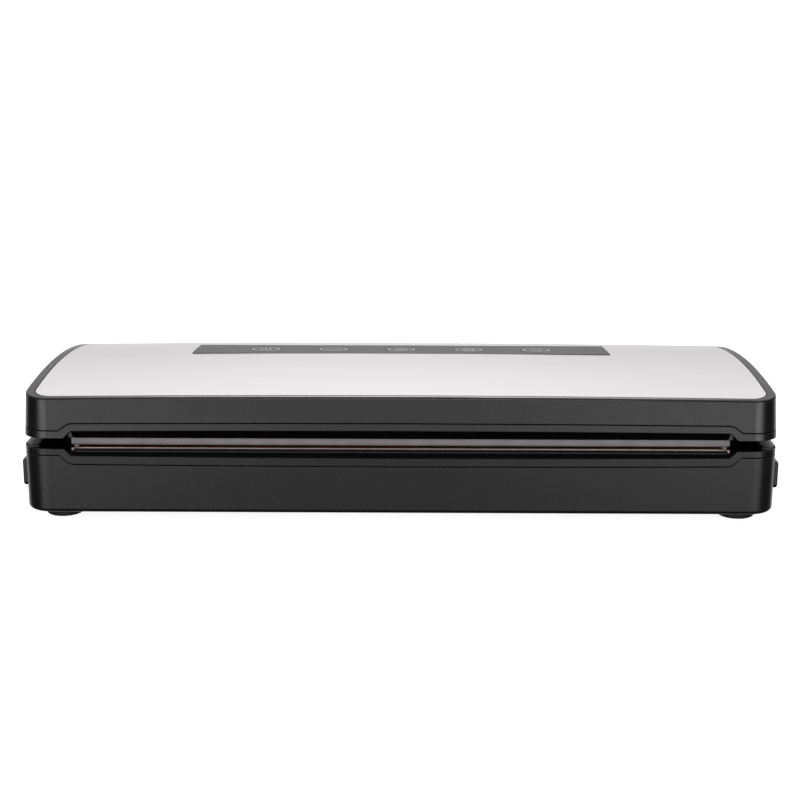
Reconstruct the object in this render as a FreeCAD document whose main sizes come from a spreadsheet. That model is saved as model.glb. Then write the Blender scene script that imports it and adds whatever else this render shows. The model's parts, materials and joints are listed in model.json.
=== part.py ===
"""Countertop vacuum packing machine, modelled piece by piece.

X runs along the machine, Y from front to back and Z up from the table. The lid's pieces are drawn as
if the lid were shut, then all of them are turned about the hinge to where the lid rests on its seals.
"""
import FreeCAD, Part
import math
import os
import Sketcher
from FreeCAD import Placement, Rotation, Vector

os.makedirs("parts", exist_ok=True)
doc = FreeCAD.newDocument("vacuum_packer")

# Driving dimensions, in millimetres and degrees. Depths are measured back from the front face.
DIMENSIONS = {
    # outline
    "width": 361.4,
    "depth": 145.0,
    "front": -72.5,
    "corner": 12.5,
    "wall": 2.4,
    "fit": 0.2,
    "seam": 0.5,
    # base heights
    "foot_height": 4.2,
    "floor_top": 6.6,
    "base_edge": 2.0,
    "base_seam": 32.7,
    "base_seam_mid": 28.3,
    "base_top": 35.8,
    "mouth_low": 32.3,
    "deck_under": 31.0,
    "deck_top": 33.4,
    "deck_rim": 4.5,
    "deck_front_lip": 1.5,
    "rim_groove_back": 4.2,
    "rim_groove_deep": 1.5,
    "end_block_in": 172.6,
    "end_block_out": 180.1,
    "end_block_turn": 176.5,
    "end_block_side": 9.0,
    "end_block_top": 36.7,
    "end_block_edge": 0.8,
    # shared front outline: half lengths of the stepped seams and of the mouth
    "seam_half_mid": 157.4,
    "seam_half_end": 162.6,
    "seam_round": 5.3,
    "mouth_half_mid": 156.8,
    "mouth_half_end": 160.3,
    "mouth_round": 3.6,
    "mouth_bow": 20000.0,
    # lid heights with the lid shut
    "lid_low": 37.15,
    "lid_seam": 40.75,
    "lid_seam_mid": 44.25,
    "lid_mouth": 40.75,
    "lid_plate_top": 39.35,
    "lid_peak": 63.0,
    "lid_peak_depth": 71.0,
    "arch_radius": 450.0,
    "crown_radius": 14000.0,
    "lid_draft": 3.3,
    "lid_depth": 144.6,
    "lid_edge": 0.6,
    "rim_line_high": 0.35,
    "rim_line_low": 0.8,
    "rim_line_deep": 0.6,
    "boss_top": 61.2,
    # hinge
    "hinge_depth": 142.0,
    "hinge_height": 41.0,
    "hinge_x": 120.0,
    "knuckle_radius": 2.9,
    "knuckle_length": 12.0,
    "ear_length": 5.0,
    "hinge_gap": 0.3,
    "pin_radius": 1.0,
    "pin_play": 0.04,
    "lid_ajar": 1.6,
    # steel plate and control panel
    "rim_width": 6.0,
    "rim_front": 3.8,
    "rim_gap_deep": 1.8,
    "plate_corner": 8.5,
    "plate_thick": 0.6,
    "plate_gap": 0.5,
    "panel_gap": 0.25,
    "panel_length": 219.2,
    "panel_width": 36.2,
    "panel_depth": 100.5,
    "panel_sunk": 0.4,
    "panel_thick": 1.2,
    "key_board_low": -9.6,
    "key_board_wide": 26.0,
    "key_board_thick": 1.6,
    "tact_size": 6.0,
    "tact_tall": 2.4,
    "tact_plunger": 1.7,
    "button_radius": 7.8,
    "button_pitch": 36.1,
    "button_gap": 0.3,
    # sealing bar, tape and pressure strip
    "bar_half": 158.0,
    "bar_front": 7.0,
    "bar_back": 19.0,
    "bar_low": 28.0,
    "bar_top": 33.7,
    "bar_lip_front": 7.9,
    "bar_lip_back": 8.4,
    "bar_lip_top": 34.55,
    "liner_top": 34.25,
    "liner_step": 5.5,
    "tape_half": 155.0,
    "tape_front": 8.5,
    "tape_back": 17.5,
    "tape_thick": 0.3,
    "element_half": 156.0,
    "element_front": 11.2,
    "element_back": 14.8,
    "element_thick": 0.25,
    "strip_low": 31.8,
    "strip_top": 40.4,
    "strip_round": 1.6,
    "holder_low": 35.9,
    # vacuum trough and gaskets
    "trough_half": 139.6,
    "trough_front": 33.4,
    "trough_back": 58.6,
    "trough_low": 22.4,
    "lid_trough_top": 43.6,
    "gasket_width": 5.0,
    "gasket_out_half": 151.0,
    "gasket_out_front": 24.6,
    "gasket_out_back": 67.4,
    "gasket_corner": 9.0,
    "gasket_groove": 1.4,
    "gasket_slack": 0.1,
    "gasket_top": 36.2,
    "lid_gasket_low": 34.5,
    # nozzles and hoses
    "nozzle_height": 25.5,
    "suction_x": 10.0,
    "vent_x": 40.0,
    "nozzle_radius": 2.4,
    "nozzle_bore": 1.4,
    "hose_radius": 3.6,
    "hose_bend": 12.0,
    "hose_turn_depth": 80.0,
    # pump
    "pump_x": -45.0,
    "pump_depth": 118.0,
    "pump_height": 19.0,
    "motor_radius": 11.5,
    "motor_length": 40.0,
    "shaft_radius": 1.0,
    "crank_radius": 5.0,
    "crank_throw": 1.5,
    "pump_size": 22.0,
    "pump_reach": 12.0,
    "pump_wall": 2.5,
    "pump_foot": 7.2,
    "pump_top": 30.4,
    # side release buttons and catches
    "release_depth": 25.0,
    "release_height": 20.6,
    "release_length": 25.0,
    "release_tall": 13.4,
    "release_out": 183.3,
    "release_gap": 0.3,
    "slider_low": 21.6,
    "slider_top": 23.1,
    "slider_in": 160.0,
    "window_in": 166.2,
    "window_out": 174.6,
    "catch_depth": 21.0,
    "catch_in": 168.0,
    "catch_out": 171.0,
    "catch_tip": 165.2,
    "catch_front": 16.0,
    "catch_back": 26.0,
    "catch_low": 19.9,
    "catch_barb": 21.5,
    "spring_radius": 3.0,
    "spring_wire": 0.35,
    "spring_height": 18.0,
    "post_x": 150.0,
    # feet and screws
    "foot_radius": 9.0,
    "foot_x": 164.0,
    "foot_depth": 15.4,
    "foot_stud": 2.5,
    "screw_radius": 1.45,
    "screw_hole": 1.5,
    "screw_clear": 1.8,
    "screw_head": 2.8,
    "screw_head_tall": 1.8,
    "screw_length": 12.0,
    "base_screw_seat": 7.4,
    "lid_screw_sink": 1.1,
    "head_well": 3.1,
    "boss_radius": 3.6,
    # mains inlet and power board
    "inlet_x": 130.0,
    "inlet_height": 20.5,
    "inlet_width": 22.0,
    "inlet_tall": 15.0,
    "inlet_deep": 17.0,
    "pin_pitch": 8.6,
    "socket_radius": 4.1,
    "socket_deep": 13.0,
    "board_x": 88.0,
    "board_depth": 100.0,
    "board_long": 52.0,
    "board_wide": 56.0,
    "board_low": 10.0,
    "board_thick": 1.6,
    "standoff_radius": 3.0,
    "standoff_inset": 4.0,
}
HINGES = {"left": -1, "right": 1}
BASE_SCREWS = (
    (-168, 50), (168, 50), (-168, 106), (168, 106), (-60, 26), (60, 26), (-25, 134), (25, 134)
)
LID_SCREWS = ((-160, 38), (160, 38), (0, 74.5), (-160, 108), (160, 108))

dim = doc.addObject("Spreadsheet::Sheet", "dim")
for row, (alias, amount) in enumerate(DIMENSIONS.items(), start=1):
    dim.set(f"A{row}", alias)
    dim.set(f"B{row}", str(amount))
    dim.setAlias(f"B{row}", alias)
doc.recompute()

subparts = []


def number(expression):
    """Value of an expression in the sheet's dimensions."""
    return float(dim.evalExpression(str(expression)))


def back(depth):
    """Y of a depth behind the front face, as an expression."""
    return f"dim.front + ({depth})"


def arch_at(depth, sink="0"):
    """Height of the lid's arched top at a depth, as an expression; sink gives a parallel arch below."""
    return (
        f"dim.lid_peak - dim.arch_radius + sqrt(pow(dim.arch_radius - ({sink}); 2)"
        f" - pow(({depth}) - dim.lid_peak_depth; 2))"
    )


def keep(feature, label, placement=None):
    """Make a finished feature a sub-part of the machine, moved by a placement if one is given."""
    if placement is not None and feature.ExpressionEngine:
        feature = group(label, [feature])
    feature.Label = label
    if placement is not None:
        feature.Placement = placement
    subparts.append(feature)
    return feature


# ---- sketches and PartDesign features ----


def new_body(name):
    return doc.addObject("PartDesign::Body", name + "_body")


def new_sketch(body, name, role, x="0", y="0", z="0", tilt=0):
    """Sketch parallel to one of the body's origin planes, with its own origin at x, y, z."""
    sketch = body.newObject("Sketcher::SketchObject", name)
    plane = next(item for item in body.Origin.OriginFeatures if item.Role == role)
    sketch.AttachmentSupport = [(plane, "")]
    sketch.MapMode = "FlatFace"
    sketch.AttachmentOffset = Placement(Vector(), Rotation(Vector(1, 0, 0), tilt))
    local = {"XY_Plane": (x, y, z), "XZ_Plane": (x, z, f"-({y})"), "YZ_Plane": (y, z, x)}[role]
    for axis, expression in zip("xyz", local):
        sketch.setExpression("AttachmentOffset.Base." + axis, expression)
    return sketch


def bind(sketch, constraint, name, expression):
    """Add a dimension to a sketch and tie it to the sheet."""
    index = sketch.addConstraint(constraint)
    sketch.renameConstraint(index, name)
    sketch.setExpression("Constraints." + name, expression)


def rectangle(sketch, width, height, corner=None):
    """Rectangle centred on the sketch's origin, with round corners where a corner radius is given."""
    first = sketch.GeometryCount
    half_w = number(width) / 2
    half_h = number(height) / 2
    radius = number(corner) if corner else 0.0
    turns = ((1, -1), (1, 1), (-1, 1), (-1, -1))
    starts = ((-1, -1), (1, -1), (1, 1), (-1, 1))
    for side, (start, end) in enumerate(zip(starts, turns)):
        along = Vector(end[0] - start[0], end[1] - start[1], 0) / 2
        begin = Vector(start[0] * half_w, start[1] * half_h, 0) + along * radius
        finish = Vector(end[0] * half_w, end[1] * half_h, 0) - along * radius
        sketch.addGeometry(Part.LineSegment(begin, finish), False)
        if corner:
            centre = Vector(end[0] * (half_w - radius), end[1] * (half_h - radius), 0)
            angle = math.radians(90 * side - 90)
            circle = Part.Circle(centre, Vector(0, 0, 1), radius)
            sketch.addGeometry(Part.ArcOfCircle(circle, angle, angle + math.pi / 2), False)
    step = 2 if corner else 1
    sides = [first + step * side for side in range(4)]
    for side in range(4):
        upcoming = sides[(side + 1) % 4]
        if corner:
            arc = sides[side] + 1
            sketch.addConstraint(Sketcher.Constraint("Tangent", sides[side], 2, arc, 1))
            sketch.addConstraint(Sketcher.Constraint("Tangent", arc, 2, upcoming, 1))
            if side:
                sketch.addConstraint(Sketcher.Constraint("Equal", first + 1, arc))
        else:
            sketch.addConstraint(Sketcher.Constraint("Coincident", sides[side], 2, upcoming, 1))
        direction = "Vertical" if side % 2 else "Horizontal"
        sketch.addConstraint(Sketcher.Constraint(direction, sides[side]))
    if corner:
        opposite = Sketcher.Constraint("Symmetric", first + 1, 3, first + 5, 3, -1, 1)
        bind(sketch, Sketcher.Constraint("Radius", first + 1, radius), f"corner{first}", corner)
    else:
        opposite = Sketcher.Constraint("Symmetric", sides[0], 1, sides[2], 1, -1, 1)
    sketch.addConstraint(opposite)
    across = Sketcher.Constraint("DistanceX", sides[3], 1, sides[1], 1, 2 * half_w)
    upward = Sketcher.Constraint("DistanceY", sides[0], 1, sides[2], 1, 2 * half_h)
    bind(sketch, across, f"width{first}", width)
    bind(sketch, upward, f"height{first}", height)


def circle(sketch, radius, x="0", y="0"):
    """Circle at a place in the sketch."""
    centre = Vector(number(x), number(y), 0)
    index = sketch.addGeometry(Part.Circle(centre, Vector(0, 0, 1), number(radius)), False)
    bind(sketch, Sketcher.Constraint("Radius", index, number(radius)), f"radius{index}", radius)
    bind(sketch, Sketcher.Constraint("DistanceX", -1, 1, index, 3, centre.x), f"across{index}", x)
    bind(sketch, Sketcher.Constraint("DistanceY", -1, 1, index, 3, centre.y), f"upward{index}", y)


def outline(sketch, points, arcs=None):
    """Closed outline through points given as pairs of expressions.

    Arcs gives the radius of each side that is an arc: it bulges to the left of the way along the
    outline, or to the right where the radius is negative.
    """
    places = [Vector(number(x), number(y), 0) for x, y in points]
    radii = {side: number(radius) for side, radius in (arcs or {}).items()}
    ends = {}
    for side, start in enumerate(places):
        finish = places[(side + 1) % len(places)]
        if side in radii:
            curve = shallow_arc(start, finish, radii[side])
            ends[side] = (2, 1) if radii[side] > 0 else (1, 2)
        else:
            curve = Part.LineSegment(start, finish)
            ends[side] = (1, 2)
        sketch.addGeometry(curve, False)
    for side in range(len(places)):
        following = (side + 1) % len(places)
        joint = Sketcher.Constraint("Coincident", side, ends[side][1], following, ends[following][0])
        sketch.addConstraint(joint)
    for side, radius in radii.items():
        bind(sketch, Sketcher.Constraint("Radius", side, abs(radius)), f"arc{side}", f"abs({arcs[side]})")
    for side, (x, y) in enumerate(points):
        place = places[side]
        corner = (side, ends[side][0])
        bind(sketch, Sketcher.Constraint("DistanceX", -1, 1, *corner, place.x), f"across{side}", x)
        bind(sketch, Sketcher.Constraint("DistanceY", -1, 1, *corner, place.y), f"upward{side}", y)


def shallow_arc(start, finish, radius):
    """Arc of less than half a turn between two points, bulging left, or right if the radius is negative."""
    chord = finish - start
    rise = math.sqrt(radius**2 - (chord.Length / 2) ** 2)
    aside = Vector(chord.y, -chord.x, 0).normalize() * math.copysign(rise, radius)
    centre = (start + finish) / 2 + aside
    angles = [math.atan2(point.y - centre.y, point.x - centre.x) for point in (finish, start)]
    if radius < 0:
        angles.reverse()
    return Part.ArcOfCircle(Part.Circle(centre, Vector(0, 0, 1), abs(radius)), *angles)


def pad(body, sketch, length, reverse=False, middle=False, taper=None):
    feature = body.newObject("PartDesign::Pad", sketch.Name + "_pad")
    feature.Profile = sketch
    feature.setExpression("Length", length)
    feature.Reversed = reverse
    feature.SideType = "Symmetric" if middle else "One side"
    if taper:
        feature.setExpression("TaperAngle", taper)
    sketch.Visibility = False
    return feature


def pocket(body, sketch, length, reverse=False, middle=False):
    feature = body.newObject("PartDesign::Pocket", sketch.Name + "_pocket")
    feature.Profile = sketch
    feature.setExpression("Length", length)
    feature.Reversed = reverse
    feature.SideType = "Symmetric" if middle else "One side"
    sketch.Visibility = False
    return feature


def level_edges(shape, height):
    """Names of the edges that lie wholly at one height."""
    return [
        f"Edge{index}"
        for index, edge in enumerate(shape.Edges, start=1)
        if all(abs(vertex.Z - height) < 1e-4 for vertex in edge.Vertexes)
    ]


def round_step(body, base, half, height, radius):
    """Round the two edges that run front to back at plus and minus a half length and a height."""
    doc.recompute()
    near = (number(half), number(height))
    edges = [
        f"Edge{index}"
        for index, edge in enumerate(base.Shape.Edges, start=1)
        if len(edge.Vertexes) == 2
        and all(math.dist((abs(vertex.X), vertex.Z), near) < 1e-3 for vertex in edge.Vertexes)
        and abs(edge.Vertexes[0].Y - edge.Vertexes[1].Y) > 0.1
    ]
    return fillet(body, base, edges, radius)


def fillet(body, base, edges, radius):
    feature = body.newObject("PartDesign::Fillet", base.Name + "_fillet")
    feature.Base = (base, edges)
    feature.setExpression("Radius", radius)
    return feature


def slab(body, name, width, length, low, high, depth="dim.depth / 2", corner=None, x="0", taper=None):
    """Pad a rectangle centred at x and at a depth, from one height to another."""
    sketch = new_sketch(body, name, "XY_Plane", x=x, y=back(depth), z=low)
    rectangle(sketch, width, length, corner)
    return pad(body, sketch, f"({high}) - ({low})", taper=taper)


def sink(body, name, width, length, low, high, depth="dim.depth / 2", corner=None, x="0"):
    """Cut a rectangle centred at x and at a depth, from one height down to another."""
    sketch = new_sketch(body, name, "XY_Plane", x=x, y=back(depth), z=high)
    rectangle(sketch, width, length, corner)
    return pocket(body, sketch, f"({high}) - ({low})")


def step_points(half_low, half_high, low, high):
    """Corners of a symmetric outline whose half length changes between two heights, lower left first."""
    return [
        (f"-({half_low})", low),
        (half_low, low),
        (half_high, high),
        (f"-({half_high})", high),
    ]


# ---- Part primitives ----


def place(feature, x, y, z):
    for axis, expression in zip("xyz", (x, y, z)):
        feature.setExpression("Placement.Base." + axis, expression)


def block(name, x, depth, z, dx, dy, dz):
    """Box from its left, front, bottom corner; depth is measured from the front face."""
    feature = doc.addObject("Part::Box", name)
    for prop, expression in (("Length", dx), ("Width", dy), ("Height", dz)):
        feature.setExpression(prop, expression)
    place(feature, x, back(depth), z)
    return feature


def rod(name, radius, length, x, depth, z, axis="Z"):
    """Cylinder that starts at a point and runs along an axis."""
    turn = {
        "X": Rotation(Vector(0, 1, 0), 90),
        "Y": Rotation(Vector(1, 0, 0), -90),
        "Z": Rotation(),
    }[axis]
    feature = doc.addObject("Part::Cylinder", name)
    feature.Placement = Placement(Vector(), turn)
    feature.setExpression("Radius", radius)
    feature.setExpression("Height", length)
    place(feature, x, back(depth), z)
    return feature


def cut(name, base, *tools):
    result = base
    for index, tool in enumerate(tools):
        feature = doc.addObject("Part::Cut", f"{name}_cut{index}")
        feature.Base = result
        feature.Tool = tool
        result = feature
    return result


def join(name, *pieces):
    feature = doc.addObject("Part::MultiFuse", name + "_union")
    feature.Shapes = list(pieces)
    return feature


def group(name, pieces):
    """Separate solids of one kind that share a node."""
    feature = doc.addObject("Part::Compound", name + "_group")
    feature.Links = list(pieces)
    return feature


# ---- places shared by several pieces ----

hinge_point = Vector(0, number(back("dim.hinge_depth")), number("dim.hinge_height"))
LID_REST = Placement(Vector(), Rotation(Vector(-1, 0, 0), number("dim.lid_ajar")), hinge_point)
panel_lean = math.degrees(
    math.asin((number("dim.panel_depth") - number("dim.lid_peak_depth")) / number("dim.arch_radius"))
)
panel_middle = Vector(
    0,
    number(back("dim.panel_depth")),
    number(arch_at("dim.panel_depth")) - number("dim.panel_sunk"),
)
PANEL_FRAME = Placement(panel_middle, Rotation(Vector(1, 0, 0), -panel_lean))
PANEL_REST = LID_REST.multiply(PANEL_FRAME)


def panel_sketch(body, name, height, x="0"):
    """Sketch parallel to the control panel, at a height above the panel's face."""
    middle = Vector(0, 0, number(height))
    at = PANEL_FRAME.multVec(middle)
    return new_sketch(body, name, "XY_Plane", x=x, y=str(at.y), z=str(at.z), tilt=-panel_lean)


# ---- base ----


def make_base_shell():
    body = new_body("base_shell")
    walls = slab(
        body, "shell_outline", "dim.width", "dim.depth", "dim.foot_height",
        "dim.base_seam - dim.seam / 2", corner="dim.corner",
    )
    doc.recompute()
    fillet(body, walls, level_edges(walls.Shape, number("dim.foot_height")), "dim.base_edge")
    sink(
        body, "shell_hollow", "dim.width - 2 * dim.wall", "dim.depth - 2 * dim.wall", "dim.floor_top",
        "dim.base_seam", corner="dim.corner - dim.wall",
    )
    step = new_sketch(body, "shell_step", "XZ_Plane", y="dim.front - 1")
    low = "dim.base_seam_mid - dim.seam / 2"
    outline(
        step, step_points("dim.seam_half_mid", "dim.seam_half_end", low, "dim.base_seam"),
        arcs={0: "-dim.mouth_bow"},
    )
    stepped = pocket(body, step, "dim.wall + 2")
    round_step(body, stepped, "dim.seam_half_mid", low, "dim.seam_round")
    sides = new_sketch(
        body, "shell_release_openings", "YZ_Plane", y=back("dim.release_depth"), z="dim.release_height"
    )
    rectangle(
        sides, "dim.release_length + 2 * dim.release_gap", "dim.release_tall + 2 * dim.release_gap", "2"
    )
    pocket(body, sides, "dim.width + 10", middle=True)
    inlet = new_sketch(
        body, "shell_inlet_opening", "XZ_Plane", x="dim.inlet_x", y=back("dim.depth - 5"),
        z="dim.inlet_height",
    )
    rectangle(inlet, "dim.inlet_width + 0.1", "dim.inlet_tall + 0.1")
    pocket(body, inlet, "10")
    wells = new_sketch(body, "shell_screw_posts", "XY_Plane", z="dim.floor_top - 0.5")
    for x, depth in BASE_SCREWS:
        circle(wells, "dim.boss_radius + 1.2", str(x), back(depth))
    pad(body, wells, "3.3")
    for name, radius, high in (
        ("shell_head_wells", "dim.head_well", "dim.base_screw_seat"),
        ("shell_screw_holes", "dim.screw_clear", "12"),
    ):
        holes = new_sketch(body, name, "XY_Plane", z=high)
        for x, depth in BASE_SCREWS:
            circle(holes, radius, str(x), back(depth))
        pocket(body, holes, high)
    studs = new_sketch(body, "shell_foot_holes", "XY_Plane", z="dim.floor_top + 1")
    for x in ("-dim.foot_x", "dim.foot_x"):
        for depth in ("dim.foot_depth", "dim.depth - dim.foot_depth"):
            circle(studs, "dim.foot_stud + 0.05", x, back(depth))
    pocket(body, studs, "10")
    standoffs = new_sketch(body, "shell_standoffs", "XY_Plane", z="dim.floor_top - 0.5")
    for across, along in ((-1, -1), (-1, 1), (1, -1), (1, 1)):
        x = f"dim.board_x + {across} * (dim.board_long / 2 - dim.standoff_inset)"
        depth = f"dim.board_depth + {along} * (dim.board_wide / 2 - dim.standoff_inset)"
        circle(standoffs, "dim.standoff_radius", x, back(depth))
    pad(body, standoffs, "dim.board_low - dim.floor_top + 0.5")
    for side, sign in HINGES.items():
        slab(
            body, f"shell_spring_post_{side}", "2.5", "9", "dim.floor_top - 0.5", "22.5",
            depth="dim.catch_depth", x=f"{sign} * (dim.post_x - 1.25)",
        )
    return keep(body, "base_shell")


def make_base_deck():
    body = new_body("base_deck")
    slab(
        body, "deck_rim", "dim.width", "dim.depth", "dim.base_seam + dim.seam / 2", "dim.base_top",
        corner="dim.corner",
    )
    slab(
        body, "deck_plate", "dim.width - 2 * (dim.wall + dim.fit)", "dim.depth - 2 * (dim.wall + dim.fit)",
        "dim.deck_under", "dim.base_seam + dim.seam / 2 + 0.1", corner="dim.corner - dim.wall",
    )
    tongue = new_sketch(body, "deck_tongue", "XZ_Plane", y="dim.front")
    low = "dim.base_seam_mid + dim.seam / 2"
    outline(
        tongue,
        step_points("dim.seam_half_mid", "dim.seam_half_end", low, "dim.base_seam + dim.seam / 2 + 0.1"),
        arcs={0: "-dim.mouth_bow"},
    )
    tongued = pad(body, tongue, "5", reverse=True)
    round_step(body, tongued, "dim.seam_half_mid", low, "dim.seam_round - dim.seam")
    sink(
        body, "deck_recess", "2 * dim.end_block_in", "dim.depth - dim.deck_front_lip - dim.deck_rim",
        "dim.deck_top", "dim.base_top + 1",
        depth="(dim.depth + dim.deck_front_lip - dim.deck_rim) / 2", corner="5",
    )
    groove = new_sketch(body, "deck_rim_groove", "XY_Plane", z="dim.base_top")
    for inset in ("dim.deck_front_lip", "dim.rim_groove_back"):
        rectangle(groove, f"dim.width - 2 * {inset}", f"dim.depth - 2 * {inset}", f"dim.corner - {inset}")
    pocket(body, groove, "dim.rim_groove_deep")
    make_end_blocks(body)
    mouth = new_sketch(body, "deck_mouth", "XZ_Plane", y="dim.front - 1")
    outline(
        mouth,
        step_points("dim.mouth_half_mid", "dim.mouth_half_end", "dim.mouth_low", "dim.base_top + 0.01"),
        arcs={0: "-dim.mouth_bow"},
    )
    opened = pocket(body, mouth, "dim.bar_front + 1")
    round_step(body, opened, "dim.mouth_half_mid", "dim.mouth_low", "dim.mouth_round / 2")
    liner = new_sketch(body, "deck_liner", "YZ_Plane", y="dim.front")
    outline(liner, [
        ("1.2", "dim.mouth_low - 0.5"),
        ("dim.bar_front", "dim.mouth_low - 0.5"),
        ("dim.bar_front", "dim.liner_top"),
        ("dim.liner_step", "dim.liner_top - 0.8"),
        ("dim.liner_step", "dim.liner_top - 1.25"),
        ("1.2", "dim.mouth_low"),
    ])
    pad(body, liner, "2 * dim.mouth_half_mid", middle=True)
    bar_depth = "(dim.bar_front + dim.bar_back) / 2"
    slab(
        body, "deck_bar_box", "2 * dim.bar_half + 6", "dim.bar_back - dim.bar_front + 4",
        "dim.bar_low - 2", "dim.deck_under + 0.1", depth=bar_depth,
    )
    sink(
        body, "deck_bar_channel", "2 * dim.bar_half + 0.4", "dim.bar_back - dim.bar_front + 0.2",
        "dim.bar_low", "dim.base_top", depth=bar_depth,
    )
    trough_depth = "(dim.trough_front + dim.trough_back) / 2"
    slab(
        body, "deck_trough_box", "2 * (dim.trough_half + dim.wall)",
        "dim.trough_back - dim.trough_front + 2 * dim.wall", "dim.trough_low - dim.wall",
        "dim.deck_under + 0.1", depth=trough_depth, corner="5",
    )
    sink(
        body, "deck_trough", "2 * dim.trough_half", "dim.trough_back - dim.trough_front",
        "dim.trough_low", "dim.base_top", depth=trough_depth, corner="3",
    )
    nozzles = new_sketch(body, "deck_nozzle_holes", "XZ_Plane", y=back("dim.trough_back - 1"))
    for x in ("dim.suction_x", "dim.vent_x"):
        circle(nozzles, "dim.nozzle_radius + 0.02", x, "dim.nozzle_height")
    pocket(body, nozzles, "dim.wall + 2")
    gasket_groove(body, "deck_gasket_groove", "dim.deck_top", "dim.deck_top - dim.gasket_groove")
    for side, sign in HINGES.items():
        sink(
            body, f"deck_catch_slot_{side}", "8", "16", "dim.deck_under - 1", "dim.base_top",
            depth="dim.catch_depth", x=f"{sign} * dim.catch_in", corner="1.5",
        )
        for place_name, offset in (("inner", -1), ("outer", 1)):
            make_ear(body, f"deck_ear_{side}_{place_name}", sign, offset)
    bores = new_sketch(
        body, "deck_pin_bores", "YZ_Plane", y=back("dim.hinge_depth"), z="dim.hinge_height"
    )
    circle(bores, "dim.pin_radius + dim.pin_play")
    pocket(body, bores, "2 * dim.hinge_x + 60", middle=True)
    bosses = new_sketch(body, "deck_screw_bosses", "XY_Plane", z="9.5")
    for x, depth in BASE_SCREWS:
        circle(bosses, "dim.boss_radius", str(x), back(depth))
    pad(body, bosses, "dim.deck_under - 9.4")
    drill = new_sketch(body, "deck_screw_holes", "XY_Plane", z="24")
    for x, depth in BASE_SCREWS:
        circle(drill, "dim.screw_hole", str(x), back(depth))
    pocket(body, drill, "20")
    return keep(body, "base_deck")


def make_end_blocks(body):
    """Rounded block that stands above the rim along each side of the deck."""
    low = "dim.base_top - dim.rim_groove_deep - 0.1"
    for side, sign in HINGES.items():
        block_outline = new_sketch(body, f"deck_end_block_{side}", "XY_Plane", z=low)
        far = "dim.depth - dim.end_block_side"
        points = [
            ("dim.end_block_in", "dim.rim_groove_back"),
            ("dim.end_block_turn", "dim.rim_groove_back"),
            ("dim.end_block_out", "dim.end_block_side"),
            ("dim.end_block_out", far),
            ("dim.end_block_turn", "dim.depth - dim.rim_groove_back"),
            ("dim.end_block_in", "dim.depth - dim.rim_groove_back"),
        ]
        outline(block_outline, [(f"{sign} * ({x})", back(depth)) for x, depth in points])
        blocks = pad(body, block_outline, f"dim.end_block_top - ({low})")
    doc.recompute()
    fillet(body, blocks, level_edges(blocks.Shape, number("dim.end_block_top")), "dim.end_block_edge")


def gasket_groove(body, name, face, floor):
    """Racetrack groove that holds a gasket, cut from a face to a floor below or above it."""
    length = "dim.gasket_out_back - dim.gasket_out_front"
    middle = back("(dim.gasket_out_front + dim.gasket_out_back) / 2")
    sketch = new_sketch(body, name, "XY_Plane", y=middle, z=face)
    slack = "dim.gasket_slack"
    rectangle(sketch, f"2 * dim.gasket_out_half + {slack}", f"{length} + {slack}", "dim.gasket_corner")
    rectangle(
        sketch, f"2 * (dim.gasket_out_half - dim.gasket_width) - {slack}",
        f"{length} - 2 * dim.gasket_width - {slack}", "dim.gasket_corner - dim.gasket_width",
    )
    downwards = number(face) > number(floor)
    return pocket(body, sketch, f"abs(({face}) - ({floor}))", reverse=not downwards)


def make_gasket(name, low, high, placement=None):
    body = new_body(name)
    length = "dim.gasket_out_back - dim.gasket_out_front"
    middle = back("(dim.gasket_out_front + dim.gasket_out_back) / 2")
    sketch = new_sketch(body, name + "_ring", "XY_Plane", y=middle, z=low)
    rectangle(sketch, "2 * dim.gasket_out_half", length, "dim.gasket_corner")
    rectangle(
        sketch, "2 * (dim.gasket_out_half - dim.gasket_width)", f"{length} - 2 * dim.gasket_width",
        "dim.gasket_corner - dim.gasket_width",
    )
    pad(body, sketch, f"({high}) - ({low})")
    return keep(body, name, placement)


def make_ear(body, name, sign, offset):
    """Ear on the deck that carries one end of a hinge pin: an upright with a round top."""
    middle = (
        f"{sign} * dim.hinge_x + {offset} * (dim.knuckle_length / 2 + dim.hinge_gap + dim.ear_length / 2)"
    )
    upright = new_sketch(body, name, "YZ_Plane", x=middle, y=back("dim.hinge_depth"))
    outline(upright, [
        ("-dim.knuckle_radius", "dim.base_top - 1"),
        ("dim.knuckle_radius", "dim.base_top - 1"),
        ("dim.knuckle_radius", "dim.hinge_height"),
        ("-dim.knuckle_radius", "dim.hinge_height"),
    ])
    pad(body, upright, "dim.ear_length", middle=True)
    crown = new_sketch(
        body, name + "_top", "YZ_Plane", x=middle, y=back("dim.hinge_depth"), z="dim.hinge_height"
    )
    circle(crown, "dim.knuckle_radius")
    pad(body, crown, "dim.ear_length", middle=True)


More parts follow.
